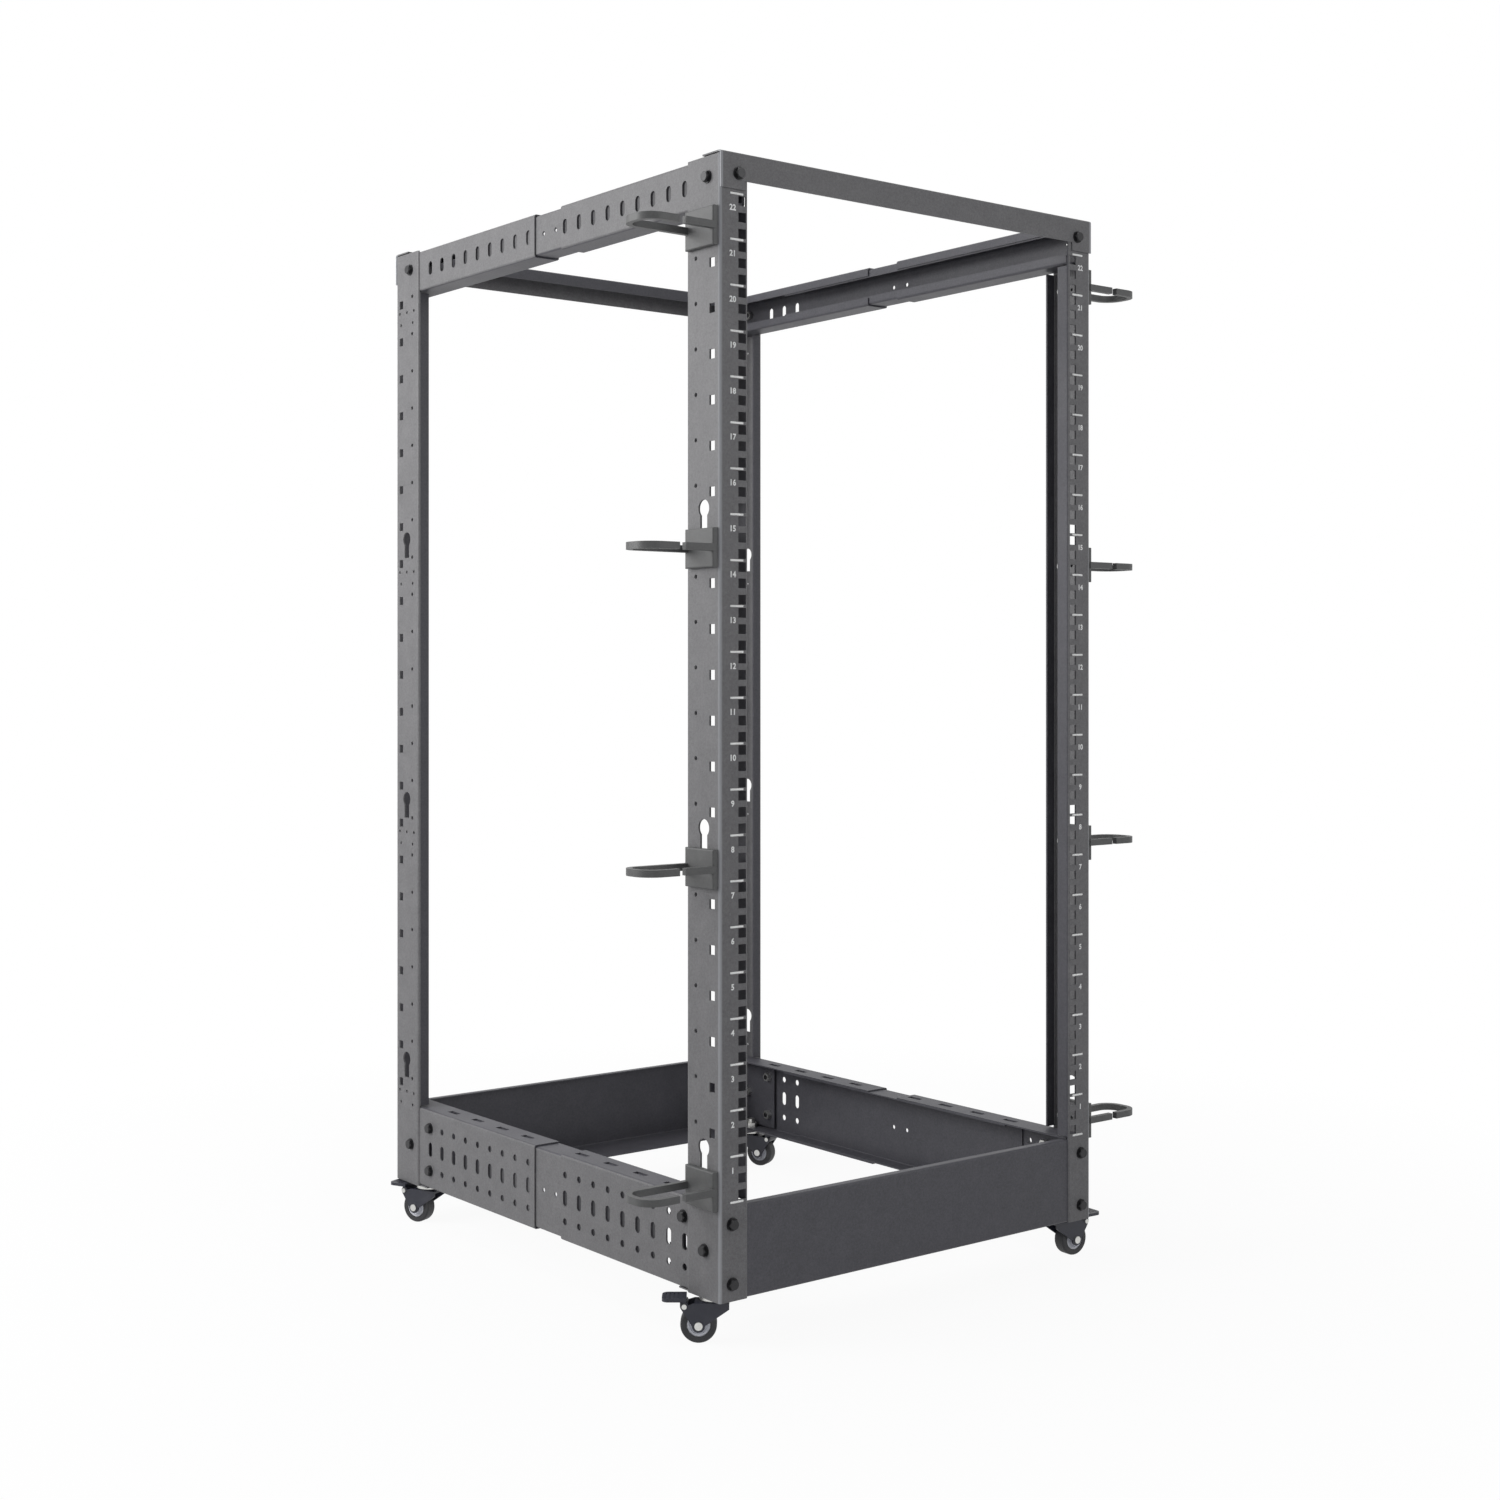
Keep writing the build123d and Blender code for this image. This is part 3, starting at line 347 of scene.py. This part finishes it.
def coated(name, base, scale, fleck, dust, roughness, bump, metallic, specular):
    """A coated or moulded surface made with the shared grain."""
    material = bpy.data.materials.new(name)
    material.use_nodes = True
    nodes, links = material.node_tree.nodes, material.node_tree.links
    shader = nodes["Principled BSDF"]
    grain = nodes.new("ShaderNodeGroup")
    grain.node_tree = bpy.data.node_groups["coat_grain"]
    values = {"Base": (*base, 1), "Grain Scale": scale, "Fleck": fleck, "Dust": dust, "Roughness": roughness}
    for label, value in values.items():
        grain.inputs[label].default_value = value
    links.new(nodes.new("ShaderNodeTexCoord").outputs["Object"], grain.inputs["Place"])
    links.new(grain.outputs["Color"], shader.inputs["Base Color"])
    links.new(grain.outputs["Roughness"], shader.inputs["Roughness"])
    relief = nodes.new("ShaderNodeBump")
    relief.inputs["Strength"].default_value = bump
    relief.inputs["Distance"].default_value = RELIEF_DEPTH
    links.new(grain.outputs["Height"], relief.inputs["Height"])
    links.new(relief.outputs["Normal"], shader.inputs["Normal"])
    shader.inputs["Metallic"].default_value = metallic
    shader.inputs["Specular IOR Level"].default_value = specular
    return material


def tint(material, mask, colour, blend):
    """Mix a painted shade or painted highlight colour into a material's coat where a mask says so."""
    tree = material.node_tree
    base = tree.nodes["Principled BSDF"].inputs["Base Color"]
    mixed = add_mix(tree, mask, base.links[0].from_socket, (*colour, 1), blend)
    tree.links.new(mixed, base)


def powder_coat(name, sleeve_shaded):
    """The rack's coat: painted shade inside it, a painted highlight on the corner bends, and a painted shadow
    where it slides in a sleeve.
    """
    material = coated(name, *COAT)
    nodes, links = material.node_tree.nodes, material.node_tree.links
    masks = nodes.new("ShaderNodeGroup")
    masks.node_tree = bpy.data.node_groups["rack_masks"]
    links.new(nodes["Texture Coordinate"].outputs["Object"], masks.inputs["Place"])
    masks.inputs["Half Width"].default_value = SLEEVED_FACE - SHADE_EDGE if sleeve_shaded else INSIDE_HALF_WIDTH
    # Painted shade on the coat inside the rack
    tint(material, masks.outputs["Inside"], INSIDE_PAINTED_SHADE, "MULTIPLY")
    if sleeve_shaded:
        # Painted shadow on a middle rail's face within its sleeve
        tint(material, masks.outputs["Sleeve Shadow"], SLEEVE_PAINTED_SHADOW, "MULTIPLY")
    else:
        # Painted highlight on the posts' corner bends
        tint(material, masks.outputs["Bend Highlight"], BEND_PAINTED_HIGHLIGHT, "MIX")
    return material


def make_materials():
    """Every finish of the rack."""
    make_coat_grain()
    make_rack_masks()
    made = {name: coated(name, *values) for name, values in FINISHES.items()}
    for name, sleeve_shaded in (("powder_coat", False), ("sleeve_shaded_coat", True)):
        made[name] = powder_coat(name, sleeve_shaded)
    return made


def finish_nodes(materials):
    """Give each CAD node the material of its slot, and the sections that slide in sleeves their own coat with
    a painted sleeve shadow.
    """
    for row in frame["record"]["subparts"]:
        node = frame["nodes"][row["node"]]
        node.data.materials.clear()
        slides = "_rail_middle_" in row["node"]
        node.data.materials.append(materials["sleeve_shaded_coat" if slides else row["material_slot"]])


# Unit marks and numbers on the rack flanges

def select_only(*pieces):
    """Select just these pieces, with the first one active."""
    bpy.ops.object.select_all(action="DESELECT")
    for piece in pieces:
        piece.select_set(True)
    bpy.context.view_layer.objects.active = pieces[0]


def settle(piece, body, material):
    """Fix a finished piece: its place into its mesh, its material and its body."""
    select_only(piece)
    bpy.ops.object.transform_apply(location=True, rotation=True, scale=True)
    piece.data.materials.clear()
    piece.data.materials.append(material)
    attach(piece, body)


def flange_face(end):
    """Y of a post's outer flange face, and the direction that it faces."""
    outwards = -1 if end == "front" else 1
    return outwards * POST_FACE, outwards


def unit_lines(end, side):
    """A printed line at each unit boundary of one post, with softened ends."""
    face, outwards = flange_face(end)
    hand = -1 if side == "left" else 1
    x = hand * (POST_CORNER - (LINE_START + LINE_END) / 2)
    y = face + outwards * (INK_GAP + INK / 2)
    z = cad_high.z - FIRST_LINE_BELOW_TOP
    bpy.ops.object.select_all(action="DESELECT")
    bpy.ops.mesh.primitive_cube_add(size=1, location=(x, y, z))
    lines = bpy.context.object
    lines.name = f"unit_lines_{end}_{side}"
    lines.scale = (LINE_END - LINE_START, INK, LINE_WIDTH)
    bpy.ops.object.transform_apply(location=True, rotation=True, scale=True)
    bpy.ops.object.mode_set(mode="EDIT")
    bpy.ops.mesh.select_all(action="DESELECT")
    bpy.ops.object.mode_set(mode="OBJECT")
    for edge in lines.data.edges:
        one, two = (lines.data.vertices[i].co for i in edge.vertices)
        edge.select = abs(one.y - two.y) > INK / 2
    bpy.ops.object.mode_set(mode="EDIT")
    bpy.ops.mesh.bevel(offset=LINE_WIDTH / 4, segments=3)
    bpy.ops.object.mode_set(mode="OBJECT")
    repeat = lines.modifiers.new("units", "ARRAY")
    repeat.count = RACK_UNITS + 1
    repeat.use_relative_offset = False
    repeat.use_constant_offset = True
    repeat.constant_offset_displace = (0, 0, -UNIT)
    bpy.ops.object.modifier_apply(modifier=repeat.name)
    return lines


def unit_numbers(end, side):
    """The printed numbers of one post, counted from the bottom unit."""
    face, outwards = flange_face(end)
    hand = -1 if side == "left" else 1
    x = hand * (POST_CORNER - NUMBER_MIDDLE)
    y = face + outwards * INK_GAP
    turn = (radians(90), 0, 0 if end == "front" else radians(180))
    numbers = []
    for number in range(1, RACK_UNITS + 1):
        line = cad_high.z - FIRST_LINE_BELOW_TOP - UNIT * (RACK_UNITS - number)
        bpy.ops.object.select_all(action="DESELECT")
        bpy.ops.object.text_add(location=(x, y + outwards * INK / 2, line - NUMBER_DROP), rotation=turn)
        text = bpy.context.object
        text.data.body = str(number)
        text.data.size = NUMBER_SIZE
        text.data.offset = NUMBER_WEIGHT
        text.data.extrude = INK / 2
        text.data.resolution_u = 3
        text.data.align_x = "CENTER"
        text.data.align_y = "CENTER"
        bpy.ops.object.convert(target="MESH")
        bpy.ops.object.transform_apply(location=True, rotation=True, scale=True)
        numbers.append(bpy.context.object)
    select_only(*numbers)
    bpy.ops.object.join()
    piece = bpy.context.object
    piece.name = f"unit_numbers_{end}_{side}"
    bpy.ops.object.mode_set(mode="EDIT")
    bpy.ops.mesh.select_all(action="SELECT")
    bpy.ops.mesh.remove_doubles(threshold=INK / 20)
    bpy.ops.mesh.normals_make_consistent(inside=False)
    bpy.ops.object.mode_set(mode="OBJECT")
    return piece


def make_marks(material):
    """Lines and numbers on all four posts."""
    for end in ENDS:
        for side in SIDES:
            for piece in (unit_lines(end, side), unit_numbers(end, side)):
                settle(piece, f"frame_{end}", material)


bpy.context.scene.view_settings.view_transform = "Standard"
make_camera()
make_lights()
make_world()
make_floor()
materials = make_materials()
finish_nodes(materials)
make_marks(materials[MARK_SLOT])
